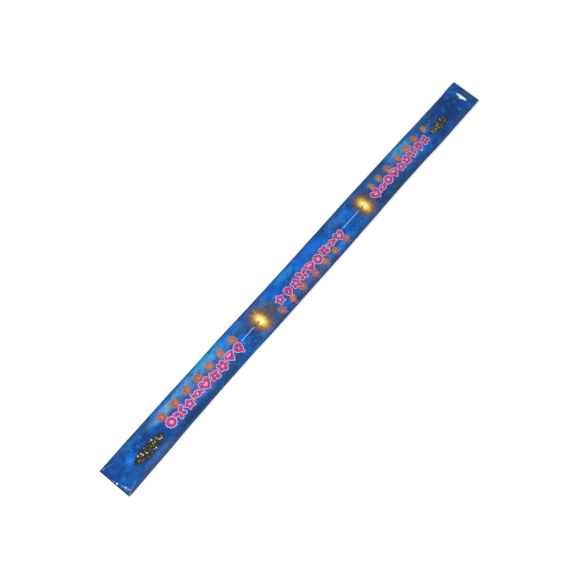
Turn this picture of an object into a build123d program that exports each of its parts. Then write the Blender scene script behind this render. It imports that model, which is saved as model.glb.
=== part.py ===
from build123d import *
import os
from math import hypot

# A flat packet of giant sparklers in a film pouch, in mm. It lies on its back with the front up.
# X runs along the pouch towards the hanging header, Y across it and Z up.
# The origin is under the middle of the pouch, on the surface that it lies on.

# Sparklers
sparkler_count = 5
sparkler_length = 700.0
wire_diameter = 2.8
coating_diameter = 5.6
coated_length = 480.0
tip_cover = 3.0
tip_round = 2.1
sparkler_gap = 0.6

# Backing card
card_thickness = 0.5
card_margin = 0.3
card_corner = 4.0
card_setback = 6.0

# Film pouch, whose webs are drawn thicker than the real laminate
film = 0.3
seam_width = 2.0
shoulder_run = 4.05
crease_run = 1.5
seal_flare = 0.75
edge_play = 0.2
seat_gap = 0.2
top_gap = 0.3

# Ends of the pouch
tear_seal_width = 5.0
tear_taper = 13.0
handle_room = 10.0
tip_room = 2.0
header_taper = 20.0
header_length = 24.0

# Hang hole, a small euro slot
slot_length = 18.0
slot_width = 4.8
slot_from_end = 14.5
eye_radius = 3.2
eye_shift = 1.6

# One overrun serves all cuts
overrun = 2.0

# How far the section has filled out, at equal steps along a taper
taper_shares = (0.0, 0.3, 0.62, 0.88, 1.0)

# Worked out from the sizes above
row_width = sparkler_count * coating_diameter + (sparkler_count - 1) * sparkler_gap
card_width = row_width + 2 * card_margin
plateau_half = card_width / 2 + edge_play + crease_run
filled_half = plateau_half + shoulder_run + seam_width
flat_half = filled_half + seal_flare
thickness = 2 * film + card_thickness + seat_gap + coating_diameter + top_gap
middle_height = thickness / 2
sparkler_height = film + card_thickness + seat_gap + coating_diameter / 2
body_length = handle_room + sparkler_length + tip_room
pouch_length = tear_seal_width + tear_taper + body_length + header_taper + header_length
tear_end_x = -pouch_length / 2
tear_line_x = tear_end_x + tear_seal_width + tear_taper
handle_x = tear_line_x + handle_room
tip_x = handle_x + sparkler_length
body_end_x = tip_x + tip_room
header_x = body_end_x + header_taper
header_end_x = header_x + header_length

# The film's section


def blend(start, end, share):
    """The value a share of the way from start to end."""
    return start + (end - start) * share


def half_corners(fill):
    """Corners of the front web's middle line, from the side edge to the flat top: (y, height over the seam)."""
    rise = middle_height - film / 2
    edge = blend(flat_half, filled_half, fill)
    root = edge - seam_width
    # A flat end has its creases beside the side seams, so the shoulders run out almost to points there.
    top = blend(root - crease_run - edge_play, plateau_half, fill)
    return [(edge, film / 2), (root, film / 2), (top, blend(film / 2, rise, fill))]


def offset_line(corners, distance):
    """The corners of a line moved square to its stretches, which keeps the web's thickness on its slopes."""
    moved = []
    for place, (y, z) in enumerate(corners):
        before = corners[max(place - 1, 0)]
        after = corners[min(place + 1, len(corners) - 1)]
        first = unit(before, (y, z)) if place else unit((y, z), after)
        second = unit((y, z), after) if place < len(corners) - 1 else first
        across = 1 + first[0] * second[0] + first[1] * second[1]
        moved.append(
            (
                y - distance * (first[1] + second[1]) / across,
                z + distance * (first[0] + second[0]) / across,
            )
        )
    return moved


def unit(start, end):
    """The direction from one point to another."""
    run, rise = end[0] - start[0], end[1] - start[1]
    length = hypot(run, rise)
    return run / length, rise / length


def toward(start, end, distance):
    """The point a distance from start, on the way to end."""
    direction = unit(start, end)
    return start[0] + direction[0] * distance, start[1] + direction[1] * distance


def section_line(corners, x, side):
    """Straight stretches with a soft crease at each inner corner, at height 0 over the seam."""

    def place(point):
        return Vector(x, point[0], middle_height + side * point[1])

    edges = []
    reached = corners[0]
    for before, corner, after in zip(corners, corners[1:], corners[2:]):
        bend_start = toward(corner, before, crease_run / 2)
        bend_end = toward(corner, after, crease_run / 2)
        edges.append(Edge.make_line(place(reached), place(bend_start)))
        edges.append(Edge.make_bezier(place(bend_start), place(corner), place(bend_end)))
        reached = bend_end
    edges.append(Edge.make_line(place(reached), place(corners[-1])))
    return edges


def web_section(x, fill, side):
    """The closed outline of one web at x. side is 1 for the front web and -1 for the back web."""
    half = half_corners(fill)
    line = half + [(-y, z) for y, z in reversed(half)]
    outer = offset_line(line, -film / 2)
    inner = offset_line(line, film / 2)
    outer_edges = section_line(outer, x, side)
    inner_edges = section_line(inner, x, side)
    start = Edge.make_line(inner_edges[0] @ 0, outer_edges[0] @ 0)
    end = Edge.make_line(outer_edges[-1] @ 1, inner_edges[-1] @ 1)
    return Wire([*outer_edges, end, *inner_edges, start])


def web(stations, side):
    """One web through its stations, each an x and how far the section is filled."""
    return Solid.make_loft([web_section(x, fill, side) for x, fill in stations], ruled=True)


def taper(flat_x, full_x):
    """Stations from a flat end to the filled section."""
    steps = len(taper_shares) - 1
    return [(blend(flat_x, full_x, step / steps), fill) for step, fill in enumerate(taper_shares)]


def tear_end_web(side):
    """The end that tears off: a flat seal and the taper up to the tear line."""
    return web([(tear_end_x, 0), *taper(tear_end_x + tear_seal_width, tear_line_x)], side)


def pouch_web(side):
    """The filled body, the taper at the sparklers' tips and the flat header with its hang hole."""
    closing = list(reversed(taper(header_x, body_end_x)))
    return web([(tear_line_x, 1), *closing, (header_end_x, 0)], side) - hang_hole()


def hang_hole():
    """The cutter of the euro slot, with a round eye that sits nearer to the pouch's body."""
    centre_x = header_end_x - slot_from_end
    depth = thickness + 2 * overrun
    middle = Location((centre_x, 0, middle_height))
    slot = SlotOverall(slot_length, slot_width, rotation=90)
    eye = Pos(-eye_shift, 0) * Circle(eye_radius)
    return middle * extrude(slot + eye, depth / 2, both=True)


# What the pouch holds


def backing_card():
    """The stiff card between the back web and the sparklers."""
    start, end = tear_line_x + card_setback, body_end_x - card_setback
    outline = RectangleRounded(end - start, card_width, card_corner)
    return Pos((start + end) / 2, 0, film) * extrude(outline, card_thickness)


def wire(y):
    """The drawn wire of one sparkler, with both cut ends chamfered."""
    radius = wire_diameter / 2
    length = sparkler_length - tip_cover
    burr = radius / 5
    along = Plane(origin=(handle_x, y, sparkler_height), z_dir=(1, 0, 0))
    rod = along * extrude(Circle(radius), length)
    return chamfer(rod.edges().filter_by(GeomType.CIRCLE), burr)


def coating(y):
    """The dipped composition: thin where it starts, fuller where it ran down, rounded at its tip."""
    bore = wire_diameter / 2
    skin = coating_diameter / 2 - bore
    start = sparkler_length - coated_length
    wire_end = sparkler_length - tip_cover
    # Shares of the coated length, and of the skin that lies on the wire there
    dip_shares = ((0, 0.25), (0.006, 1), (0.03, 1), (0.04, 0.92), (0.985, 0.92))
    slope = [(start + along * coated_length, bore + thick * skin) for along, thick in dip_shares]
    side = Polyline(*slope, (sparkler_length - tip_round, tip_round))
    dome = CenterArc((sparkler_length - tip_round, 0), tip_round, start_angle=0, arc_size=90)
    inside = Polyline((sparkler_length, 0), (wire_end, 0), (wire_end, bore), (start, bore), slope[0])
    turned = revolve(make_face([*side.edges(), *dome.edges(), *inside.edges()]), Axis.X)
    return Pos(handle_x, y, sparkler_height) * turned


def row_places():
    """Where the sparklers lie across the pouch, from -Y to +Y."""
    pitch = coating_diameter + sparkler_gap
    return [(number - (sparkler_count - 1) / 2) * pitch for number in range(sparkler_count)]


def write(shape, node):
    """Writes one node."""
    export_step(shape, f"parts/{node}.step")


os.makedirs("parts", exist_ok=True)
write(pouch_web(1), "front_film")
write(pouch_web(-1), "back_film")
write(tear_end_web(1), "tear_end_front")
write(tear_end_web(-1), "tear_end_back")
write(backing_card(), "backing_card")
for number, y in enumerate(row_places(), start=1):
    write(wire(y), f"sparkler_wire_{number}")
    write(coating(y), f"sparkler_coating_{number}")
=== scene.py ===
import math
import random

import bmesh
import bpy
from mathutils import Matrix, Vector, noise
from mathutils.geometry import intersect_point_line, tessellate_polygon


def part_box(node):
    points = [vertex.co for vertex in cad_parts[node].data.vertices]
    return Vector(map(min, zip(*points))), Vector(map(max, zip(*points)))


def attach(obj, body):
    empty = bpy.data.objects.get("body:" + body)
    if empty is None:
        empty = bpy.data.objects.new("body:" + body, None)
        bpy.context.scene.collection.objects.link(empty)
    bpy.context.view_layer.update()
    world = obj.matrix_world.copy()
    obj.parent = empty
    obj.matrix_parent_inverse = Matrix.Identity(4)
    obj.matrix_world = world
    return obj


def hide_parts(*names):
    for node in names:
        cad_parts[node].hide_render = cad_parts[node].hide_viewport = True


# A packet of giant sparklers in a glossy printed film pouch, lying on its back on a white table.
# Lengths are in metres. Places on the print are in mm: along from the tear end, and up from the middle.

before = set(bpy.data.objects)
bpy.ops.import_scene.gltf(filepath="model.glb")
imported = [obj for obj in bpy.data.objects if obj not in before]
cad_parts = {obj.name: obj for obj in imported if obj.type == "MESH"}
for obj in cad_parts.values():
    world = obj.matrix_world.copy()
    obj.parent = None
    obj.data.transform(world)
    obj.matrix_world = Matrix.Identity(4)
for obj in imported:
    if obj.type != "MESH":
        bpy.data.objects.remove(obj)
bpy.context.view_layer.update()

MM = 0.001

# The pouch, read from the frame
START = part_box("tear_end_front")[0].x
front_low, front_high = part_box("front_film")
TEAR, END = front_low.x, front_high.x
MIDDLE, TOP = front_low.z, front_high.z
CARD_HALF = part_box("backing_card")[1].y

# The film's section: how far each face stands off the seams' middle, how thick the sheet is drawn, the side
# seams, and the flat top, which follows a share of the side edge's wander. In the flat ends the creases lie
# by the seams. Under the card the back stays flat out to a margin past the card's edge.
FILM = 0.3 * MM
SHEET = 0.22 * MM
SEAM = 2.0 * MM
PLATEAU_HALF = 17.0 * MM
EDGE_HALF = 23.25 * MM
PLATEAU_FOLLOW = 0.8
FLAT_CREASE = 1.8 * SEAM
CARD_MARGIN = 1.2 * MM
CREASE_SOFTNESS = 0.42
RISE = TOP - MIDDLE - FILM

# Where the end seal stops, the header starts and the body runs into its taper
SEAL_END = START + 5.0 * MM
HEADER = END - 24.0 * MM
BODY_END = HEADER - 20.0 * MM

# Heights of the film's relief, in mm: slow waves, ripples and how far the body sinks with them, low ridges
# over the sparklers, waves of the flat ends, and the back's hollows
SWAY, RIPPLE, SINK = 0.13, 0.05, 0.07
RIDGE, RIDGE_PITCH, RIDGE_REACH = 0.025, 6.2, 15.5
FLUTTER = 0.10
HOLLOW = 0.07

# Crimp lines across the end seal, in mm
CRIMP_START, CRIMP_STOP = 0.4, 4.6
CRIMP, CRIMP_PITCH = 0.03, 1.05

# How the side edges wander: along, -Y edge, +Y edge, all in mm
EDGES = (
    (0, 23.5, 23.3),
    (50, 22.9, 23.8),
    (120, 21.7, 24.3),
    (170, 21.2, 24.2),
    (220, 21.3, 24.7),
    (290, 22.4, 24.0),
    (340, 22.5, 23.9),
    (430, 23.0, 24.2),
    (500, 22.6, 24.6),
    (560, 22.1, 24.4),
    (610, 22.4, 24.3),
    (680, 23.7, 23.6),
    (740, 23.6, 23.4),
    (752, 23.8, 24.2),
    (774, 23.7, 24.0),
)

# Creases in the film by the tear end: start, end, rise, run and fall, in mm.
# The film climbs from the line's right-hand side to its left over the run, and sinks back over the fall.
# Each crease fades over a share of its length at both ends, and none reaches further along than that.
# On the back they are gone where the pouch is filled to that share.
CREASE_FADE = 0.28
CREASE_REACH = 26
CREASE_GONE = 0.25
CREASES = (
    ((1.9, 5.8), (1.9, 0.4), 0.42, 0.8, 2.0),
    ((2.6, 0.8), (2.8, -5.4), 1.08, 2.0, 3.0),
    ((3.3, -5.6), (4.7, -12.0), 0.56, 1.1, 2.4),
    ((4.5, -9.8), (5.9, -18.2), 1.20, 2.8, 2.2),
    ((6.6, -17.4), (7.0, -20.2), 0.34, 1.2, 2.5),
    ((0.4, -22.7), (6.4, -20.2), 0.50, 1.2, 2.4),
    ((5.2, -20.4), (14.5, -18.9), 0.46, 1.2, 2.6),
    ((17.4, -3.0), (18.0, -19.0), 0.12, 0.7, 3.0),
    ((11.5, 16.0), (16.0, 2.0), 0.16, 1.6, 5.0),
)

# Hang hole, a slot with a round eye that sits nearer to the body, in mm
SLOT_FROM_END = 14.5
SLOT_LENGTH = 18.0
SLOT_WIDTH = 4.8
EYE_RADIUS = 3.2
EYE_SHIFT = 1.6


def srgb(red, green, blue):
    """A colour of the print, given as 0 to 255, as the linear colour that a shader takes."""
    linear = []
    for value in (red, green, blue):
        share = value / 255
        linear.append(share / 12.92 if share <= 0.04045 else ((share + 0.055) / 1.055) ** 2.4)
    return (*linear, 1.0)


def mix(start, end, share):
    """The value a share of the way from start to end."""
    return start + (end - start) * share


def smooth(share):
    """An even ease from 0 to 1."""
    share = min(max(share, 0.0), 1.0)
    return share * share * (3 - 2 * share)


# The film's surface


def fill(x):
    """How far the pouch's section has filled out at x: 0 in the flat ends and 1 over the sparklers."""
    near = min(max((x - SEAL_END) / (TEAR - SEAL_END), 0.0), 1.0)
    far = min(max((HEADER - x) / (HEADER - BODY_END), 0.0), 1.0)
    # The film swells sooner by the header, so that the sparklers' tips have room there.
    return min(mix(near, smooth(near), 0.5), 1 - (1 - far) ** 1.5)


def edge(x, side):
    """How far out the side edge lies at x, on the side of +Y (1) or -Y (-1)."""
    along = (x - START) / MM
    column = 2 if side > 0 else 1
    for before, after in zip(EDGES, EDGES[1:]):
        if along <= after[0]:
            share = smooth((along - before[0]) / (after[0] - before[0]))
            return mix(before[column], after[column], share) * MM
    return EDGES[-1][column] * MM


def plateau(x, side, least=0.0):
    """How far out the flat top reaches: least or more where filled, and into the corners where flat."""
    rim = edge(x, side)
    filled = max(PLATEAU_HALF + PLATEAU_FOLLOW * (rim - EDGE_HALF), least)
    return mix(rim - FLAT_CREASE, filled, fill(x))


def soft_clamp(share):
    """share held to 0..1 with rounded corners, which makes the film's creases soft."""
    soft = CREASE_SOFTNESS
    if share < -soft:
        return 0.0
    if share < soft:
        return (share + soft) ** 2 / (4 * soft)
    if share < 1 - soft:
        return share
    if share < 1 + soft:
        return 1 - (1 + soft - share) ** 2 / (4 * soft)
    return 1.0


def swell(x, y, least=0.0):
    """How high the film stands at a point, from 0 on the side seam to 1 on the flat top."""
    side = 1 if y >= 0 else -1
    root = edge(x, side) - SEAM
    return soft_clamp((root - abs(y)) / (root - plateau(x, side, least)))


def crease_height(along, up):
    """The height of the creases beside the tear end, in mm."""
    if along >= CREASE_REACH:
        return 0.0
    height = 0.0
    for (x0, y0), (x1, y1), rise, run, fall in CREASES:
        length = math.hypot(x1 - x0, y1 - y0)
        u, v = (x1 - x0) / length, (y1 - y0) / length
        share = ((along - x0) * u + (up - y0) * v) / length
        if 0 < share < 1:
            out = (up - y0) * u - (along - x0) * v
            climb = min(max(out / run + 0.5, 0.0), 1.0)
            slope = 0.5 * (smooth(climb) + climb)
            ends = smooth(share / CREASE_FADE) * smooth((1 - share) / CREASE_FADE)
            height += rise * slope * ends * math.exp(-max(out - run / 2, 0.0) / fall)
    return height


def crimps(along):
    """The crimp lines pressed across the end seal, in mm."""
    if not CRIMP_START < along < CRIMP_STOP:
        return 0.0
    return CRIMP * math.sin(2 * math.pi * along / CRIMP_PITCH)


def waves(along, up, long, wide, layer):
    """Chance waves between -1 and 1, of about that length and width in mm."""
    return noise.noise(Vector((along / long, up / wide, layer)))


def flat_relief(along, up):
    """Waves and crimp lines of the flat ends, in mm, which both webs share."""
    return FLUTTER * waves(along, up, 15, 17, 9.3) + crimps(along)


def relief(x, y):
    """How far the front film stands off its plain form."""
    along, up = (x - START) / MM, y / MM
    full = fill(x)
    slow = waves(along, up, 46, 19, 1.7)
    # The ripples run askew.
    quick = noise.noise(Vector((along / 13 + up / 30, up / 26, 5.1)))
    ridges = 1 + math.cos(2 * math.pi * up / RIDGE_PITCH) if abs(up) < RIDGE_REACH else 0.0
    body = SWAY * slow + RIPPLE * quick + RIDGE * ridges - SINK
    ends = flat_relief(along, up) * (1 - full)
    return (body * full * swell(x, y) + ends + crease_height(along, up)) * MM


def front_height(x, y):
    """Where the printed film's outer face is."""
    return MIDDLE + FILM + RISE * fill(x) * swell(x, y) + relief(x, y)


def back_height(x, y):
    """Where the back film's outer face is, which never goes under the table and lies flat under the card."""
    along, up = (x - START) / MM, y / MM
    full = fill(x)
    fullness = full * swell(x, y, CARD_HALF + CARD_MARGIN)
    ends = flat_relief(along, up) * (1 - full)
    hollow = HOLLOW * (0.5 + 0.5 * waves(along, up, 30, 16, 3.3))
    crease = crease_height(along, up) * (1 - smooth(full / CREASE_GONE))
    return MIDDLE - FILM - RISE * fullness + (ends + hollow * full + crease) * MM


# Edges of the film that turn more than these degrees stay sharp
FILM_SHARP = 35

# How far apart the film's stations are, up to each place
STEPS = (
    (START + 12 * MM, 0.22 * MM),
    (START + 30 * MM, 0.5 * MM),
    (BODY_END - 15 * MM, 2.0 * MM),
    (END, 0.6 * MM),
)


def stations(start, end):
    """Places along the film, close together by both ends of the pouch where it wrinkles."""
    stops = [start]
    for stop, step in STEPS:
        first, last = stops[-1], min(stop, end)
        if first < last:
            count = max(round((last - first) / step), 1)
            stops += [mix(first, last, number / count) for number in range(1, count + 1)]
    return stops


def columns(x):
    """Places across the film at x: each seam, shoulder and the flat top have their own share."""
    shoulder_steps, top_steps = 11, 24
    places = []
    for side in (-1, 1):
        rim = edge(x, side)
        root = rim - SEAM
        outer, inner = root + 0.25 * SEAM, plateau(x, side) - 0.6 * SEAM
        half = [rim, mix(rim, root, 0.5)]
        half += [mix(outer, inner, step / shoulder_steps) for step in range(shoulder_steps + 1)]
        half += [mix(half[-1], 0.0, step / top_steps) for step in range(1, top_steps + 1)]
        places.append([side * y for y in half])
    return places[0] + places[1][-2::-1]


def film_sheet(name, side, start, end, body, material):
    """One web of the pouch between two places along it, as a thin closed sheet."""
    height = front_height if side > 0 else back_height
    points, rows = [], []
    for x in stations(start, end):
        row = [(x, y, height(x, y)) for y in columns(x)]
        rows.append(range(len(points), len(points) + len(row)))
        points += row
    faces = []
    for near, far in zip(rows, rows[1:]):
        for k in range(len(near) - 1):
            quad = (near[k], far[k], far[k + 1], near[k + 1])
            faces.append(quad if side > 0 else quad[::-1])
    mesh = bpy.data.meshes.new(name)
    mesh.from_pydata(points, [], faces)
    mesh.materials.append(material)
    piece = new_object(name, mesh)
    solid = piece.modifiers.new("thickness", "SOLIDIFY")
    solid.thickness = SHEET
    solid.offset = -1
    if end == END:
        for cutter in hang_hole_cutters():
            hole = piece.modifiers.new("hang_hole", "BOOLEAN")
            hole.operation = "DIFFERENCE"
            hole.solver = "EXACT"
            hole.object = cutter
    apply_modifiers(piece)
    shade(piece.data, FILM_SHARP)
    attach(piece, body)
    return piece


def new_object(name, data):
    """An object of the scene with that mesh, lamp or camera."""
    holder = bpy.data.objects.new(name, data)
    bpy.context.scene.collection.objects.link(holder)
    return holder


def apply_modifiers(piece):
    """Turns the piece's modifiers into its mesh and removes what only they used."""
    bpy.context.view_layer.update()
    evaluated = piece.evaluated_get(bpy.context.evaluated_depsgraph_get())
    mesh = bpy.data.meshes.new_from_object(evaluated)
    helpers = [m.object for m in piece.modifiers if m.type == "BOOLEAN"]
    piece.modifiers.clear()
    old = piece.data
    piece.data = mesh
    mesh.name = old.name
    bpy.data.meshes.remove(old)
    for helper in helpers:
        bpy.data.objects.remove(helper)


def shade(mesh, degrees):
    """Smooth shading, kept sharp at edges that turn more than those degrees."""
    mesh.polygons.foreach_set("use_smooth", [True] * len(mesh.polygons))
    mesh.set_sharp_from_angle(angle=math.radians(degrees))


def prism(name, outline, low, high):
    """A closed prism over an outline of (x, y) points."""
    count = len(outline)
    points = [(x, y, z) for z in (low, high) for x, y in outline]
    faces = [tuple(range(count))[::-1], tuple(range(count, 2 * count))]
    faces += [(k, (k + 1) % count, count + (k + 1) % count, count + k) for k in range(count)]
    mesh = bpy.data.meshes.new(name)
    mesh.from_pydata(points, [], faces)
    return new_object(name, mesh)


def hang_hole_cutters():
    """The euro slot and its round eye, as two cutters."""
    centre = END - SLOT_FROM_END * MM
    radius = SLOT_WIDTH / 2 * MM
    bend = (SLOT_LENGTH / 2) * MM - radius
    half_turn = 24
    slot, eye = [], []
    for step in range(half_turn + 1):
        angle = math.pi * step / half_turn
        slot.append((centre + radius * math.cos(angle), bend + radius * math.sin(angle)))
    slot += [(2 * centre - x, -y) for x, y in slot]
    for step in range(2 * half_turn):
        angle = math.pi * step / half_turn
        x, y = EYE_RADIUS * math.cos(angle) - EYE_SHIFT, EYE_RADIUS * math.sin(angle)
        eye.append((centre + x * MM, y * MM))
    low, high = MIDDLE - 3 * MM, MIDDLE + 3 * MM
    return prism("slot_cutter", slot, low, high), prism("eye_cutter", eye, low, high)


# Materials


class Nodes:
    """A material's node tree under construction."""

    def __init__(self, name):
        self.material = bpy.data.materials.new(name)
        self.material.use_nodes = True
        self.tree = self.material.node_tree

    def add(self, kind, settings=None, **values):
        """A node with its properties from settings and its sockets from the other names."""
        node = self.tree.nodes.new(kind)
        for key, value in (settings or {}).items():
            setattr(node, key, value)
        for key, value in values.items():
            self.give(node.inputs[key.replace("_", " ")], value)
        return node

    def give(self, socket, value):
        """A socket gets a link or a plain value."""
        if isinstance(value, bpy.types.NodeSocket):
            self.tree.links.new(value, socket)
        else:
            socket.default_value = value

    def maths(self, operation, first, second=0.0):
        """The result of one operation on two values."""
        node = self.add("ShaderNodeMath", {"operation": operation})
        self.give(node.inputs[0], first)
        self.give(node.inputs[1], second)
        return node.outputs[0]


class Look(Nodes):
    """A surface of the pack, with its shader and with places on it in mm."""

    def __init__(self, name):
        super().__init__(name)
        self.shader = self.tree.nodes["Principled BSDF"]
        here = self.add("ShaderNodeTexCoord").outputs["Object"]
        self.mm = self.mapped(here, scale=(1 / MM, 1 / MM, 1 / MM))

    def mapped(self, place, turn=0.0, scale=(1.0, 1.0, 1.0)):
        """A place turned about Z by those degrees and scaled."""
        node = self.add("ShaderNodeMapping", Vector=place, Scale=scale)
        node.inputs["Rotation"].default_value = (0.0, 0.0, math.radians(turn))
        return node.outputs["Vector"]

    def noise(self, size, detail, roughness=0.55, distortion=0.0, at=None):
        """Cloudy noise whose patches are about size mm wide."""
        node = self.add(
            "ShaderNodeTexNoise",
            Vector=at or self.mm,
            Scale=1 / size,
            Detail=detail,
            Roughness=roughness,
            Distortion=distortion,
        )
        return node.outputs["Fac"]

    def spread(self, value, low, high, to_low=0.0, to_high=1.0):
        """A value mapped from one range to another and held there, with an even ease."""
        node = self.add("ShaderNodeMapRange", {"interpolation_type": "SMOOTHSTEP"})
        self.give(node.inputs["Value"], value)
        for key, number in zip(("From Min", "From Max", "To Min", "To Max"), (low, high, to_low, to_high)):
            node.inputs[key].default_value = number
        return node.outputs["Result"]

    def blend(self, share, start, end):
        """One colour over another by a share."""
        node = self.add("ShaderNodeMix", {"data_type": "RGBA"})
        self.give(node.inputs[0], share)
        self.give(node.inputs[6], start)
        self.give(node.inputs[7], end)
        return node.outputs[2]

    def ramp(self, value, *stops):
        """Colours at places from 0 to 1."""
        node = self.add("ShaderNodeValToRGB", Fac=value)
        band = node.color_ramp.elements
        while len(band) < len(stops):
            band.new(0.5)
        for element, (place, colour) in zip(band, stops):
            element.position = place
            element.color = colour
        return node.outputs["Color"]

    def patch(self, along, up, wide, tall, turn=0.0):
        """1 at a place on the print, easing to 0 at its edge: half sizes in mm, the turn in degrees."""
        # The last scale is so large that the film's height doesn't count.
        spot = self.add("ShaderNodeMapping", {"vector_type": "TEXTURE"}, Vector=self.mm)
        spot.inputs["Location"].default_value = (START / MM + along, up, 0.0)
        spot.inputs["Rotation"].default_value = (0.0, 0.0, math.radians(turn))
        spot.inputs["Scale"].default_value = (wide, tall, 1e6)
        away = self.add("ShaderNodeVectorMath", {"operation": "LENGTH"}, Vector=spot.outputs["Vector"])
        return self.spread(away.outputs["Value"], 0.15, 1.0, 1.0, 0.0)

    def tinted(self, colour, tint, share, strength=1.0):
        """The colour with a tint of 0 to 255 over it, by a share times a strength."""
        return self.blend(self.maths("MULTIPLY", share, strength), colour, srgb(*tint))

    def bump(self, height, distance, strength):
        """Fine relief from a height between 0 and 1, distance in metres."""
        node = self.add("ShaderNodeBump", Height=height, Distance=distance, Strength=strength)
        self.give(self.shader.inputs["Normal"], node.outputs["Normal"])

    def done(self, colour, roughness, metallic=0.0, shine=0.5):
        """The finished material."""
        self.give(self.shader.inputs["Base Color"], colour)
        self.give(self.shader.inputs["Roughness"], roughness)
        self.shader.inputs["Metallic"].default_value = metallic
        self.shader.inputs["Specular IOR Level"].default_value = shine
        return self.material


# Bright and dark reaches of the printed sky, with painted shade, painted sheen and a painted highlight among
# them: along, up, half width, half height, colour, strength
SKY_TONES_AND_PAINTED_LIGHT = (
    (0, 0, 10, 60, (20, 53, 102), 0.6),
    (14, -2, 26, 30, (8, 68, 146), 0.9),
    (9, 15, 18, 12, (2, 54, 132), 0.85),
    (2, -15, 7, 9, (72, 104, 140), 0.7),
    # Painted shade on the dark side facet at the lower corner by the tear end
    (13, -22.4, 16, 4.4, (8, 34, 66), 1.0),
    (24, -12, 7, 9, (44, 84, 130), 0.6),
    (32, 3, 17, 13, (8, 132, 239), 0.8),
    (46, 18, 36, 9, (52, 117, 190), 0.6),
    # Painted sheen along the lower shoulder by the tear end
    (60, -18, 42, 8, (88, 116, 152), 0.95),
    (76, -3, 34, 14, (12, 60, 121), 0.55),
    (104, 14, 42, 9, (139, 191, 218), 0.75),
    (150, 15, 38, 12, (98, 196, 250), 0.85),
    (186, 17, 38, 12, (57, 196, 255), 1.0),
    (214, 15, 24, 11, (47, 159, 235), 0.8),
    (57, -4, 36, 11, (26, 48, 74), 0.85),
    (54, 24, 44, 6, (24, 50, 88), 1.0),
    (112, -16, 46, 10, (18, 58, 94), 0.98),
    (176, -16, 60, 9, (28, 72, 108), 0.9),
    (232, -13, 36, 12, (38, 76, 116), 0.9),
    (245, 11, 24, 13, (54, 90, 122), 0.92),
    (272, 0, 32, 34, (32, 58, 102), 0.7),
    (293, -2, 23, 34, (92, 86, 80), 1.0),
    (314, 12, 28, 13, (4, 114, 230), 0.9),
    (344, 17, 28, 9, (40, 156, 239), 0.7),
    (362, -16, 60, 9, (30, 74, 120), 0.8),
    (392, 14, 48, 13, (4, 116, 236), 0.92),
    (452, 13, 30, 11, (83, 152, 218), 0.55),
    (470, 3, 30, 17, (10, 108, 211), 0.85),
    (468, -15, 32, 10, (42, 86, 132), 0.85),
    (503, 0, 34, 34, (30, 53, 97), 0.7),
    (521, 0, 15, 30, (62, 76, 92), 0.95),
    (552, 15, 36, 10, (58, 104, 138), 0.88),
    (590, -16, 90, 10, (36, 80, 116), 0.92),
    (612, 16, 38, 13, (56, 200, 255), 1.0),
    (652, 16, 26, 10, (68, 120, 160), 0.75),
    (684, 14, 32, 12, (52, 70, 90), 0.95),
    (702, -10, 48, 16, (22, 48, 88), 0.9),
    (690, -3, 32, 12, (26, 44, 62), 0.8),
    (730, 6, 50, 40, (6, 44, 102), 0.98),
    (742, -7, 26, 18, (8, 74, 168), 0.9),
    (768, 4, 14, 34, (28, 58, 112), 0.8),
    # Painted highlight on the film beside the hang hole
    (769, -6, 9, 16, (62, 112, 142), 0.75),
    (764, -13, 7, 6, (48, 60, 160), 0.6),
)

# Rows of pink motifs: first and last along, how far up, and the order of their motifs
ROWS = (
    (98.0, 225.0, -3.0, (4, 3, 0, 7, 1, 8, 2, 6, 5)),
    (312.5, 441.0, -1.8, (0, 5, 2, 3, 6, 4, 8, 7, 1)),
    (530.0, 653.0, -2.2, (1, 7, 4, 6, 0, 2, 3, 5, 8)),
)

# Orange tufts by each row: first and last along, how far up, how many, turn in degrees
TUFTS = (
    (93.0, 229.0, 9.5, 7, 0),
    (304.0, 444.0, -12.4, 7, 180),
    (533.0, 664.0, 9.2, 7, 0),
)

# Painted highlights along the creases by the tear end: along, up, half length, half width, turn in degrees,
# strength
PAINTED_CREASE_HIGHLIGHTS = (
    (1.8, 2.4, 3.4, 0.55, 88, 0.6),
    (2.9, -2.4, 2.0, 0.8, 10, 0.5),
    (3.4, -21.5, 4.1, 0.6, 24, 0.85),
    (10.0, -19.2, 6.4, 0.5, 13, 0.5),
    (15.8, -18.0, 5.0, 0.5, 8, 0.25),
    (5.9, -17.2, 1.9, 0.9, 70, 0.4),
    (5.4, 20.8, 3.2, 0.6, -2, 0.85),
)

# The two printed bursts: along, up
BURSTS = ((273, -0.3), (503.5, -0.5))

# Clouds drifting over the sky: size in mm, detail, roughness, distortion, the noise from which they show and
# at which they are full, strength, colour
CLOUDS = (
    (12, 6.0, 0.70, 1.2, 0.54, 0.72, 0.4, (78, 112, 150)),
    (7, 6.0, 0.72, 1.0, 0.46, 0.66, 0.6, (9, 50, 104)),
    (8, 5.0, 0.72, 1.4, 0.54, 0.74, 0.3, (98, 184, 237)),
)

# How much the film's gloss mirrors
SHEEN = 0.4


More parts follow.
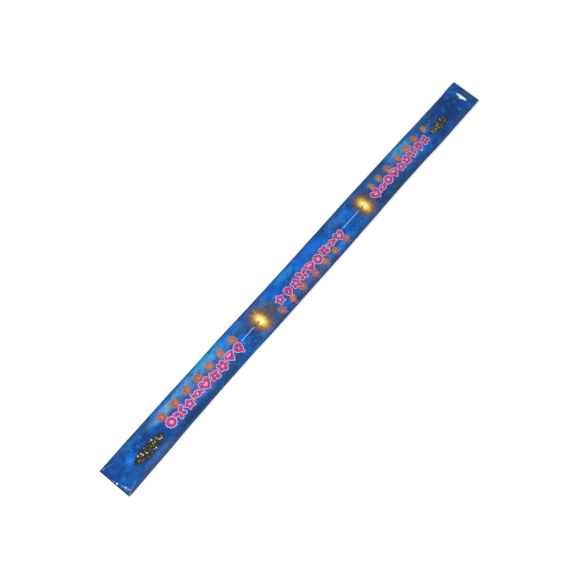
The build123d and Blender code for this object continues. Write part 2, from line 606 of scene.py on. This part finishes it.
def sky_print_and_painted_light(look):
    """The film's colour: a printed sky of drifting blue clouds with bright and dark reaches, some of them
    painted shade, sheen and a highlight, painted shade along the upper edge and painted sheen along the lower
    one, darker over the last 3 mm at both ends, and painted highlights on the creases by the tear end.
    """
    slanted = look.mapped(look.mm, 24, (0.7, 1.25, 1.0))
    colour = look.ramp(
        look.noise(24, 7.0, 0.62, 0.8, at=slanted),
        (0.36, srgb(8, 58, 119)),
        (0.46, srgb(8, 80, 164)),
        (0.54, srgb(8, 102, 200)),
        (0.66, srgb(20, 134, 238)),
    )
    tatter = look.spread(look.noise(13, 6.0, 0.66, 0.9, at=slanted), 0.36, 0.60, 0.45, 1.0)
    # Sky reaches, among them painted shade, painted sheen and a painted highlight
    for along, up, wide, tall, tint, strength in SKY_TONES_AND_PAINTED_LIGHT:
        tone_and_painted_light = look.maths("MULTIPLY", look.patch(along, up, wide, tall), tatter)
        colour = look.tinted(colour, tint, tone_and_painted_light, strength)
    for first, last, up, _ in ROWS:
        lilac = look.patch((first + last) / 2, up, (last - first) / 2 + 16, 12)
        colour = look.tinted(colour, (118, 102, 156), lilac, 0.62)
    for first, last, up, _, _ in TUFTS:
        warmth = look.patch((first + last) / 2, up, (last - first) / 2 + 12, 10)
        colour = look.tinted(colour, (130, 112, 128), warmth, 0.42)
    for along, up in BURSTS:
        colour = look.tinted(colour, (132, 102, 70), look.patch(along, up, 23, 28))
    for size, detail, roughness, distortion, shows, full, strength, tint in CLOUDS:
        cloud = look.noise(size, detail, roughness, distortion, at=slanted)
        colour = look.blend(look.spread(cloud, shows, full, 0.0, strength), colour, srgb(*tint))
    grain = look.spread(look.noise(2.2, 2.0, 0.6), 0.42, 0.66, 0.0, 0.3)
    colour = look.blend(grain, colour, srgb(16, 65, 118))
    place = look.add("ShaderNodeSeparateXYZ", Vector=look.mm).outputs
    ragged = look.maths("MULTIPLY", tatter, 2.0)
    # Painted shade darkens the upper edge along its shoulder, and painted sheen greys the lower edge along
    # its shoulder
    upper = look.spread(look.maths("ADD", ragged, place["Y"]), 20.4, 25.4, 0.0, 0.6)
    colour = look.blend(upper, colour, srgb(34, 76, 118))
    lower = look.spread(look.maths("SUBTRACT", ragged, place["Y"]), 17.5, 23.5, 0.0, 0.85)
    colour = look.blend(lower, colour, srgb(50, 80, 114))
    tips = look.spread(look.maths("ABSOLUTE", place["X"]), END / MM - 3.0, END / MM, 0.0, 0.75)
    colour = look.blend(tips, colour, srgb(20, 53, 87))
    # Pale blue painted highlights along the creases by the tear end, broken up by fine noise
    broken = look.spread(look.noise(1.6, 4.0, 0.7), 0.3, 0.6, 0.5, 1.0)
    for along, up, wide, tall, turn, strength in PAINTED_CREASE_HIGHLIGHTS:
        pale = look.maths("MULTIPLY", look.patch(along, up, wide, tall, turn), broken)
        colour = look.tinted(colour, (176, 202, 232), pale, strength)
    return colour


def printed_film():
    """Glossy laminated film with the night-sky print, and painted shade, sheen and highlights in its colour.
    """
    look = Look("printed_film")
    scuff = look.noise(9, 3.0, 0.6)
    look.bump(look.noise(3.2, 3.0, 0.6), 0.05 * MM, 0.5)
    return look.done(sky_print_and_painted_light(look), look.spread(scuff, 0.35, 0.75, 0.09, 0.16), shine=SHEEN)


def back_film():
    """The plain back of the pouch: the same film in an even deep blue."""
    look = Look("back_film")
    cloud = look.noise(60, 4.0, 0.55, 0.4)
    colour = look.ramp(cloud, (0.3, srgb(25, 58, 138)), (0.7, srgb(32, 85, 185)))
    scuff = look.noise(7, 4.0, 0.65)
    look.bump(look.noise(3.2, 3.0, 0.6), 0.05 * MM, 0.5)
    return look.done(colour, look.spread(scuff, 0.3, 0.75, 0.11, 0.2), shine=SHEEN)


def ink(name, light, dark, size):
    """One ink of the print, uneven in patches of about size mm, under the film's gloss."""
    look = Look(name)
    uneven = look.noise(size, 3.0, 0.6)
    colour = look.ramp(uneven, (0.32, srgb(*dark)), (0.66, srgb(*light)))
    scuff = look.noise(9, 3.0)
    return look.done(colour, look.spread(scuff, 0.35, 0.75, 0.09, 0.16), shine=SHEEN)


def drawn_wire():
    """Drawn steel wire with fine lengthways lines and dull spots."""
    look = Look("drawn_wire")
    lines = look.noise(1.0, 3.0, 0.6, at=look.mapped(look.mm, scale=(0.02, 3.0, 3.0)))
    dull = look.noise(6, 4.0, 0.6)
    colour = look.ramp(dull, (0.35, srgb(150, 146, 138)), (0.7, srgb(196, 194, 190)))
    look.bump(lines, 0.04 * MM, 0.6)
    return look.done(colour, look.spread(dull, 0.3, 0.7, 0.3, 0.5), metallic=1.0)


def composition():
    """The dried firework composition: matt grey and gritty with metal flecks."""
    look = Look("composition")
    grain = look.noise(0.55, 4.0, 0.7)
    patch = look.noise(7, 3.0, 0.6)
    colour = look.ramp(patch, (0.3, srgb(84, 84, 88)), (0.7, srgb(122, 121, 122)))
    fleck = look.spread(look.noise(0.35, 1.0, 0.5), 0.68, 0.74)
    colour = look.blend(fleck, colour, srgb(196, 194, 188))
    look.bump(look.maths("ADD", grain, look.maths("MULTIPLY", patch, 0.8)), 0.25 * MM, 0.9)
    return look.done(colour, look.spread(grain, 0.3, 0.7, 0.7, 0.95), shine=0.3)


def grey_board():
    """Uncoated grey board with fibres."""
    look = Look("grey_board")
    fibre = look.noise(0.9, 4.0, 0.7, 1.2, at=look.mapped(look.mm, scale=(0.35, 1.4, 1.4)))
    colour = look.ramp(fibre, (0.3, srgb(168, 160, 144)), (0.7, srgb(204, 197, 182)))
    look.bump(fibre, 0.06 * MM, 0.7)
    return look.done(colour, look.spread(fibre, 0.3, 0.7, 0.8, 0.95), shine=0.3)


# Figures of the print

# Plates are cut into cells of that side, and go that far into the film
CELL = 1.5 * MM
BURY = 0.04 * MM


class Plates:
    """Printed figures as thin closed plates that follow the film, gathered into one piece."""

    def __init__(self, name, *materials):
        self.name = name
        self.materials = materials
        self.points, self.faces, self.inks = [], [], []

    def add(self, outline, lift, number):
        """One plate over an outline in print mm, lift mm over the film, in the numbered ink."""
        flat = bmesh.new()
        ring = [Vector((START + x * MM, y * MM, 0.0)) for x, y in outline]
        verts = [flat.verts.new(point) for point in ring]
        for corners in tessellate_polygon([ring]):
            flat.faces.new([verts[k] for k in corners])
        for axis in (0, 1):
            cut_by_grid(flat, axis)
        flat.normal_update()
        flat.verts.index_update()
        base, count = len(self.points), len(flat.verts)
        for over in (lift * MM, -BURY):
            for vert in flat.verts:
                x, y = vert.co.x, vert.co.y
                self.points.append((x, y, front_height(x, y) + over))
        for face in flat.faces:
            loop = [v.index for v in face.verts]
            if face.normal.z < 0:
                loop.reverse()
            self.keep([base + k for k in loop], number)
            self.keep([base + count + k for k in reversed(loop)], number)
            for first, second in zip(loop, loop[1:] + loop[:1]):
                rim = next(e for e in face.edges if {v.index for v in e.verts} == {first, second})
                if len(rim.link_faces) == 1:
                    side = [base + count + first, base + count + second, base + second, base + first]
                    self.keep(side, number)
        flat.free()

    def keep(self, face, number):
        """Takes in one face, in the numbered ink."""
        self.faces.append(face)
        self.inks.append(number)

    def finish(self, body="pouch"):
        """Makes one piece of the gathered plates."""
        mesh = bpy.data.meshes.new(self.name)
        mesh.from_pydata(self.points, [], self.faces)
        for material in self.materials:
            mesh.materials.append(material)
        mesh.polygons.foreach_set("material_index", self.inks)
        mesh.update()
        shade(mesh, FILM_SHARP)
        piece = new_object(self.name, mesh)
        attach(piece, body)


def cut_by_grid(flat, axis):
    """Splits a flat mesh along even lines, so that it can follow the film."""
    low = min(v.co[axis] for v in flat.verts)
    high = max(v.co[axis] for v in flat.verts)
    normal = Vector((1, 0, 0)) if axis == 0 else Vector((0, 1, 0))
    for number in range(math.floor(low / CELL) + 1, math.ceil(high / CELL)):
        geometry = flat.verts[:] + flat.edges[:] + flat.faces[:]
        place = normal * number * CELL
        bmesh.ops.bisect_plane(flat, geom=geometry, dist=1e-9, plane_co=place, plane_no=normal)


def rounded(outline, rounds=2):
    """The outline with its corners cut again and again, which makes it soft."""
    for _ in range(rounds):
        cut = []
        for (x0, y0), (x1, y1) in zip(outline, outline[1:] + outline[:1]):
            cut.append((mix(x0, x1, 0.25), mix(y0, y1, 0.25)))
            cut.append((mix(x0, x1, 0.75), mix(y0, y1, 0.75)))
        outline = cut
    return outline


def grown(outline, distance):
    """The outline moved outwards by a distance, without loops in its notches."""
    ring = [Vector(point) for point in outline]
    edges = [(point, ring[(k + 1) % len(ring)]) for k, point in enumerate(ring)]
    moved = []
    for k, point in enumerate(ring):
        before = (point - edges[k - 1][0]).normalized()
        after = (edges[k][1] - point).normalized()
        out = Vector((before.y + after.y, -before.x - after.x)) / max(1 + before.dot(after), 0.6)
        spot = point + distance * out
        # A spot that comes nearer to another stretch would make a loop.
        if min(reach(spot, *edge) for edge in edges) > 0.97 * distance:
            moved.append(tuple(spot))
    return moved


def reach(spot, start, end):
    """How far a spot lies from the stretch between two points."""
    _, share = intersect_point_line(spot, start, end)
    return (spot - start.lerp(end, min(max(share, 0.0), 1.0))).length


def placed(outline, along, up, size, turn=0.0, stretch=1.0):
    """A unit outline at a place, with its size in mm and its turn in degrees."""
    c, s = math.cos(math.radians(turn)), math.sin(math.radians(turn))
    return [
        (along + (c * x * stretch - s * y) * size, up + (s * x * stretch + c * y) * size)
        for x, y in outline
    ]


def rays(count, inner, outer, first=90.0):
    """A star of even points, counter-clockwise."""
    outline = []
    for k in range(2 * count):
        radius = outer if k % 2 == 0 else inner
        angle = math.radians(first + 180 * k / count)
        outline.append((radius * math.cos(angle), radius * math.sin(angle)))
    return outline


def oval(wide, tall, turn=0.0, steps=20):
    """An oval around the middle, counter-clockwise."""
    outline = []
    for k in range(steps):
        angle = 2 * math.pi * k / steps
        outline.append((wide * math.cos(angle), tall * math.sin(angle)))
    return placed(outline, 0.0, 0.0, 1.0, turn)


def petals(count, inner, outer):
    """A flower with round petals, counter-clockwise."""
    outline = []
    steps = 8 * count
    for k in range(steps):
        angle = 2 * math.pi * k / steps
        radius = mix(inner, outer, abs(math.cos(count * angle / 2)))
        outline.append((radius * math.cos(angle), radius * math.sin(angle)))
    return outline


def mirrored(half):
    """An outline from its right half, listed from the bottom to the top."""
    return half + [(-x, y) for x, y in reversed(half) if x > 0]


# Party motifs as unit outlines, counter-clockwise: the body, its pale middle and where it glints
HEART_HALF = [(0, -1.1), (0.14, -0.96), (0.66, -0.44), (1.06, 0.1), (1.08, 0.62)]
HEART_HALF += [(0.76, 0.98), (0.34, 0.94), (0.05, 0.52), (0, 0.3)]
WING_HALF = [(0, -0.42), (0.3, -0.98), (0.78, -0.86), (0.72, -0.3), (0.3, -0.06), (1.02, 0.12)]
WING_HALF += [(1.2, 0.78), (0.78, 1.0), (0.3, 0.66), (0.06, 0.3), (0, 0.28)]
GEM_HALF = [(0, -1.08), (0.1, -0.98), (0.95, 0.16), (1.12, 0.4)]
GEM_HALF += [(0.98, 0.56), (0.66, 0.86), (0.5, 0.9), (0, 0.9)]
GEM_TABLE_HALF = [(0, 0.12), (0.42, 0.16), (0.62, 0.5), (0.46, 0.62), (0, 0.62)]
BALLOON_HALF = [(0.24, -1.12), (0.07, -0.84), (0.6, -0.42), (0.88, 0.25), (0.64, 0.84), (0.0, 1.06)]
SWEET_HALF = [(0, -0.62), (0.44, -0.5), (0.6, -0.16), (1.2, -0.62), (1.02, 0)]
SWEET_HALF += [(1.2, 0.62), (0.6, 0.16), (0.44, 0.5), (0, 0.62)]
MOTIFS = (
    (rays(5, 0.56, 1.16), rays(5, 0.2, 0.42), ((0.0, 0.74),)),
    (mirrored(HEART_HALF), placed(mirrored(HEART_HALF), 0, -0.05, 0.4), ((-0.62, 0.6), (0.62, 0.6))),
    (petals(5, 0.62, 1.08), oval(0.3, 0.3), ((-0.34, 0.58), (0.74, 0.0))),
    (mirrored(WING_HALF), oval(0.12, 0.5), ((-0.74, 0.6), (0.74, 0.6))),
    (rays(11, 0.76, 1.08), oval(0.38, 0.38), ((-0.36, 0.5),)),
    (mirrored(BALLOON_HALF), oval(0.13, 0.3, -30), ((-0.3, 0.62),)),
    (mirrored(GEM_HALF), mirrored(GEM_TABLE_HALF), ((-0.5, -0.12),)),
    (mirrored(SWEET_HALF), oval(0.16, 0.4, -24), ((-0.3, 0.2), (0.9, 0.0))),
    (placed(petals(4, 0.5, 1.08), 0, 0, 1.0, 45), oval(0.2, 0.2), ((-0.5, 0.5), (0.5, 0.5))),
)

# How much longer than tall the motifs are drawn
MOTIF_STRETCH = 1.1

# Snow crystals: along, up, size in mm
CRYSTALS = (
    (31.0, 3.5, 7.0),
    (42.0, 10.5, 3.2),
    (11.6, -4.6, 4.6),
    (61.0, 14.5, 2.2),
    (58.0, -16.0, 2.6),
    (247.0, -13.0, 3.0),
    (290.0, 14.0, 2.6),
    (356.0, 12.5, 1.8),
    (462.0, 8.0, 6.0),
    (446.0, 14.5, 1.9),
    (479.0, -12.5, 3.0),
    (545.0, -15.5, 2.2),
    (686.0, 11.0, 2.8),
    (737.0, -10.0, 5.0),
)

# Crystals over this size have branches, which leave each arm at a share of its length and are a share as long
BRANCHED_FROM = 4
BRANCH_PLACE = 0.62
BRANCH_LENGTH = 0.28


def pink_rows():
    """Three rows of pink party motifs with lilac rims and pale glints."""
    rim = ink("lilac_ink", (232, 208, 234), (178, 156, 204), 3.0)
    body = ink("pink_ink", (200, 66, 128), (148, 60, 122), 2.4)
    pale = ink("pale_pink_ink", (232, 166, 200), (212, 128, 176), 2.0)
    random.seed(11)
    for number, (first, last, up, order) in enumerate(ROWS, start=1):
        plates = Plates(f"pink_motifs_{number}", rim, body, pale)
        for k, motif in enumerate(order):
            outline, middle, glints = MOTIFS[motif]
            # The row runs a little up and down.
            spot = (mix(first, last, k / (len(order) - 1)), up + 0.9 * math.sin(1.9 * k + number))
            turn, size = random.uniform(-16, 10), random.uniform(6.5, 7.0)
            figure = placed(rounded(outline), *spot, size, turn, MOTIF_STRETCH)
            # Neighbouring rims overlap, so they lie at two heights.
            plates.add(grown(figure, 0.85), 0.030 + 0.008 * (k % 2), 0)
            plates.add(figure, 0.056, 1)
            plates.add(placed(rounded(middle, 1), *spot, size, turn, MOTIF_STRETCH), 0.074, 2)
            for glint in glints:
                centre = placed([glint], *spot, size, turn, MOTIF_STRETCH)[0]
                plates.add(placed(oval(0.8, 0.34, steps=10), *centre, 1.0, 24 + turn), 0.074, 0)
        plates.finish()


def tuft(along, up, size, turn, count, inner):
    """A shaggy ring of thin leaves, longer at its top like a small flame. No two are quite alike."""
    outline = []
    for k in range(2 * count):
        angle = math.pi * (k + random.uniform(-0.35, 0.35)) / count
        if k % 2 == 0:
            radius = random.uniform(0.7, 1.2) * (1 + 0.4 * max(math.sin(angle), 0.0))
        else:
            radius = random.uniform(0.8, 1.2) * inner
        outline.append((0.86 * radius * math.cos(angle), radius * math.sin(angle)))
    return placed(outline, along, up, size, turn)


def orange_tufts():
    """Small orange tufts, above the first and third row and below the second."""
    rim = ink("umber_ink", (160, 138, 126), (112, 112, 124), 2.0)
    body = ink("orange_ink", (206, 124, 84), (148, 88, 80), 1.8)
    rust = ink("rust_ink", (204, 98, 88), (144, 76, 84), 1.8)
    pale = ink("amber_ink", (228, 150, 82), (186, 100, 70), 1.4)
    plates = Plates("orange_sprigs", rim, body, rust, pale)
    random.seed(23)
    for first, last, up, count, turn in TUFTS:
        for k in range(count):
            along = mix(first, last, k / (count - 1)) + random.uniform(-3.0, 3.0)
            lean = turn + random.uniform(-40, 40)
            size = random.uniform(5.0, 6.0)
            plates.add(tuft(along, up, 1.28 * size, lean, 17, 0.7), 0.012, 0)
            plates.add(tuft(along, up, size, lean, 11, 0.72), 0.034, random.choice((1, 2)))
            heart = (along + random.uniform(-1.4, 1.4), up + random.uniform(-1.0, 1.0))
            plates.add(tuft(*heart, 0.48 * size, lean, 7, 0.5), 0.056, 3)
    plates.finish()


# Rings of a burst: number of spikes, where they start, how far they reach in mm. All are squeezed along.
BURST_RINGS = ((90, 12.6, 24.0), (110, 10.4, 21.6), (90, 8.2, 17.6), (56, 4.6, 11.6))
BURST_SQUEEZE = 0.68

# The drawn sparklers, in mm: where their wires start, how far before the burst the wire stops and the coating
# starts and stops, how far up they lie from the burst's middle, and how tall wire and coating are
WIRE_STARTS = (233.0, 452.0)
WIRE_STOP, COAT_START, COAT_STOP = 12, 13, 2.5
WIRE_UP = 0.6
WIRE_TALL, COAT_TALL = 1.15, 1.4


def bursts():
    """Two gold bursts of thin spikes in four inks, taller than wide."""
    brown = ink("ember_ink", (142, 108, 62), (104, 86, 66), 3.0)
    amber = ink("gold_ink", (206, 146, 62), (170, 112, 50), 2.4)
    gold = ink("yellow_ink", (246, 204, 84), (230, 172, 58), 2.4)
    core = ink("white_gold_ink", (255, 250, 188), (255, 236, 142), 2.0)
    plates = Plates("gold_bursts", brown, amber, gold, core)
    random.seed(43)
    for along, up in BURSTS:
        for layer, (count, inner, outer) in enumerate(BURST_RINGS):
            outline = []
            for k in range(2 * count):
                if k % 2 == 0:
                    radius = random.uniform(0.5, 1.0) * outer
                else:
                    radius = random.uniform(0.7, 1.3) * inner
                angle = math.pi * (k + random.uniform(-0.3, 0.3)) / count
                x, y = BURST_SQUEEZE * radius * math.cos(angle), radius * math.sin(angle)
                outline.append((along + x, up + y))
            plates.add(outline, 0.020 + 0.022 * layer, layer)
    plates.finish()


def drawn_sparklers():
    """The thin light wires that lead to the bursts, each with a dark coated end."""
    steel = ink("wire_ink", (150, 196, 240), (112, 164, 222), 3.0)
    coat = ink("coat_ink", (124, 88, 54), (92, 70, 54), 2.0)
    plates = Plates("drawn_sparklers", steel, coat)
    for (along, up), start in zip(BURSTS, WIRE_STARTS):
        plates.add(bar(start, along - WIRE_STOP, up + WIRE_UP, WIRE_TALL), 0.05, 0)
        # The coating lies over the burst's top ring.
        plates.add(bar(along - COAT_START, along - COAT_STOP, up + WIRE_UP, COAT_TALL), 0.106, 1)
    plates.finish()


def bar(start, end, up, tall):
    """A long thin bar."""
    half = tall / 2
    return [(start, up - half), (end, up - half), (end, up + half), (start, up + half)]


def snow_crystals():
    """Six-armed pale blue crystals with side branches, one of them on the end that tears off."""
    faint = ink("ice_ink", (44, 144, 226), (26, 112, 206), 2.5)
    fainter = ink("shaded_ice_ink", (48, 112, 190), (28, 92, 172), 2.5)
    on_pouch, on_tear_end = Plates("snow_crystals", faint), Plates("tear_end_crystal", fainter)
    for number, (along, up, size) in enumerate(CRYSTALS):
        plates = on_pouch if START + along * MM > TEAR else on_tear_end
        turn = 9 * number
        plates.add(placed(rays(6, 0.17, 1.0), along, up, size, turn), 0.020, 0)
        for arm in range(6 if size > BRANCHED_FROM else 0):
            angle = math.radians(60 * arm + 90 + turn)
            out = BRANCH_PLACE * size
            joint = (along + out * math.cos(angle), up + out * math.sin(angle))
            branch = placed(rays(2, 0.16, 1.0, 0.0), *joint, size * BRANCH_LENGTH, 60 * arm + turn)
            plates.add(branch, 0.028, 0)
    on_pouch.finish()
    on_tear_end.finish("tear_end")


# Starry ovals by both ends of the print: along, up, half length, half height
OVALS = ((57.0, -3.6, 25.0, 7.0), (690.0, -3.2, 22.0, 6.6))

# Their stars: how many, how far apart in mm, and the shares of the oval that they keep to
STAR_COUNT, STARS_APART = 30, 2.3
STARS_LONG, STARS_TALL = 0.88, 0.82


def scattered(wide, tall, count, apart):
    """Up to count chance places in an oval, none closer together than apart."""
    places = []
    for _ in range(60 * count):
        angle, share = random.uniform(0, 2 * math.pi), math.sqrt(random.random())
        spot = (wide * share * math.cos(angle), tall * share * math.sin(angle))
        if all(math.dist(spot, other) > apart for other in places):
            places.append(spot)
    return places[:count]


def starry_ovals():
    """Dark ovals strewn with small gold stars."""
    night = ink("night_ink", (58, 56, 50), (34, 40, 48), 3.0)
    gilt = ink("gilt_ink", (198, 168, 92), (134, 118, 72), 1.6)
    cream = ink("cream_ink", (240, 232, 206), (204, 190, 152), 1.6)
    plates = Plates("starry_ovals", night, gilt, cream)
    random.seed(5)
    for along, up, wide, tall in OVALS:
        frill = []
        for k, (x, y) in enumerate(oval(wide, tall, steps=44)):
            frill.append((x * (1 + 0.05 * (k % 2)), y * (1 + 0.07 * (k % 2))))
        plates.add([(along + x, up + y) for x, y in rounded(frill, 1)], 0.03, 0)
        for x, y in scattered(wide * STARS_LONG, tall * STARS_TALL, STAR_COUNT, STARS_APART):
            size = random.choice((0.75, 0.95, 1.5))
            star = placed(rays(5, 0.45, 1.0), along + x, up + y, size, random.uniform(0, 72))
            plates.add(star, 0.055, random.choice((1, 1, 2)))
    plates.finish()


# The pouch and what it holds


def build_pouch():
    """Both webs of the film, split at the tear line."""
    printed, plain = printed_film(), back_film()
    for name, side, start, end, body, node, slot, material in (
        ("pouch_front", 1, TEAR, END, "pouch", "front_film", "printed_film", printed),
        ("pouch_back", -1, TEAR, END, "pouch", "back_film", "back_film", plain),
        ("tear_end_front_sheet", 1, START, TEAR, "tear_end", "tear_end_front", "printed_film", printed),
        ("tear_end_back_sheet", -1, START, TEAR, "tear_end", "tear_end_back", "back_film", plain),
    ):
        sheet = film_sheet(name, side, start, end, body, material)
        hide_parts(node)


def dress_contents():
    """Materials of the CAD pieces that stay as they are."""
    steel, grit, board = drawn_wire(), composition(), grey_board()
    for name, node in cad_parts.items():
        if name.startswith("sparkler_wire"):
            material = steel
        elif name.startswith("sparkler_coating"):
            material = grit
        elif name == "backing_card":
            material = board
        else:
            continue
        node.data.materials.clear()
        node.data.materials.append(material)
        shade(node.data, 40)


# The studio

# How far the table reaches each way in metres, its grey, and the glow that makes it white to the camera
TABLE_REACH = 4.0
TABLE_GREY = (0.84, 0.84, 0.84, 1.0)
TABLE_GLOW = 0.4

# The even light from all round
ROOM_LIGHT = 0.26


def floor():
    """A white table that stays white to the camera and keeps the pack's soft shadow."""
    paint = Nodes("white_table")
    paint.tree.nodes.clear()
    matt = paint.add("ShaderNodeBsdfDiffuse", Color=TABLE_GREY)
    path = paint.add("ShaderNodeLightPath").outputs
    seen = paint.maths("MAXIMUM", path["Is Camera Ray"], path["Is Glossy Ray"])
    seen = paint.maths("MAXIMUM", seen, path["Is Transmission Ray"])
    glow = paint.add("ShaderNodeEmission", Strength=paint.maths("MULTIPLY", seen, TABLE_GLOW))
    both = paint.add("ShaderNodeAddShader")
    for socket, part in zip(both.inputs, (matt, glow)):
        paint.give(socket, part.outputs[0])
    paint.add("ShaderNodeOutputMaterial", Surface=both.outputs[0])
    corners = [(x * TABLE_REACH, y * TABLE_REACH, 0) for x, y in ((-1, -1), (1, -1), (1, 1), (-1, 1))]
    mesh = bpy.data.meshes.new("floor")
    mesh.from_pydata(corners, [], [(0, 1, 2, 3)])
    mesh.materials.append(paint.material)
    new_object("floor", mesh)


def lamp(name, place, aim, wide, tall, power, colour=(1.0, 1.0, 1.0)):
    """A soft box that faces a point, in metres and watts."""
    light = bpy.data.lights.new(name, "AREA")
    light.color = colour
    light.shape = "RECTANGLE"
    light.size = wide
    light.size_y = tall
    light.energy = power
    holder = new_object(name, light)
    holder.location = place
    direction = Vector(aim) - Vector(place)
    holder.rotation_euler = direction.to_track_quat("-Z", "Y").to_euler()


def lights():
    """Soft boxes on the print's upper and lower sides, and a low strip by the tear end."""
    lamp("key", (-2.2, 2.9, 2.4), (0, 0, 0), 3.6, 3.0, 104)
    lamp("fill", (-1.84, -2.4, 2.4), (0, 0, 0), 3.2, 2.8, 72)
    lamp("glint", (-2.42, 0.12, 1.60), (-0.38, 0, 0), 1.0, 0.44, 40, (0.84, 0.93, 1.0))
    world = bpy.data.worlds.new("room")
    bpy.context.scene.world = world
    world.use_nodes = True
    background = world.node_tree.nodes["Background"]
    background.inputs["Color"].default_value = (1.0, 1.0, 1.0, 1.0)
    background.inputs["Strength"].default_value = ROOM_LIGHT


# The camera, from the pouch's four corners and side edges in the photograph: its place, a point that it looks
# at, the direction to its right, the photograph's side and the focal length in pixels, and the sensor in mm
CAMERA_PLACE = Vector((-526.8 * MM, -171.4 * MM, 1061.2 * MM))
CAMERA_AIM = Vector((-54.2 * MM, -6.5 * MM, 3.6 * MM))
CAMERA_RIGHT = Vector((0.609, -0.7787, 0.1507))
PHOTO_SIDE = 585.0
FOCAL_PIXELS = 890.0
SENSOR = 36.0


def camera():
    """The photograph's view, from above the tear end."""
    data = bpy.data.cameras.new("camera")
    data.sensor_width = SENSOR
    data.lens = FOCAL_PIXELS / PHOTO_SIDE * SENSOR
    holder = new_object("camera", data)
    back = (CAMERA_PLACE - CAMERA_AIM).normalized()
    right = (CAMERA_RIGHT - back * CAMERA_RIGHT.dot(back)).normalized()
    up = back.cross(right)
    turn = Matrix((right, up, back)).transposed().to_4x4()
    holder.matrix_world = Matrix.Translation(CAMERA_PLACE) @ turn
    bpy.context.scene.camera = holder


camera()
build_pouch()
dress_contents()
pink_rows()
orange_tufts()
bursts()
drawn_sparklers()
snow_crystals()
starry_ovals()
floor()
lights()
bpy.context.scene.view_settings.view_transform = "Standard"
